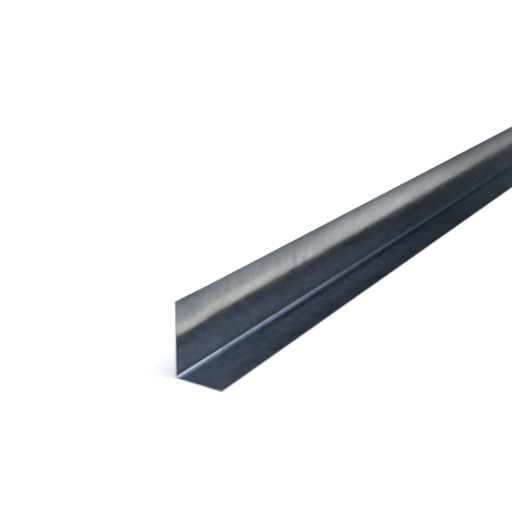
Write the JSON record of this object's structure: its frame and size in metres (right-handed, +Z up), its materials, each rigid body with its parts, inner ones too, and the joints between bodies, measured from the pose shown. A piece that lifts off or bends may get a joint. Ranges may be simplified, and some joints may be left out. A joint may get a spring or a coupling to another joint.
{
  "type": "wall angle trim",
  "caption": "Folded galvanised steel angle trim with an upright wall leg and a narrower base leg, for closing and supporting the edge of roofing or facade panels along a wall.",
  "frame": {"origin": "mid-length, midway between the wall face and the free edge of the base leg, on the level that the base leg rests on", "axes": "+X along the stock, +Y out of the face that goes against the wall, +Z up along the wall leg"},
  "size_m": [2, 0.04, 0.06],
  "materials": {
    "galvanised_sheet": "hot-dip galvanised, skin-passed, semi-bright with a faint spangle and dull smudges"
  },
  "bodies": {
    "root": {"wall_angle": "galvanised_sheet"}
  },
  "joints": []
}
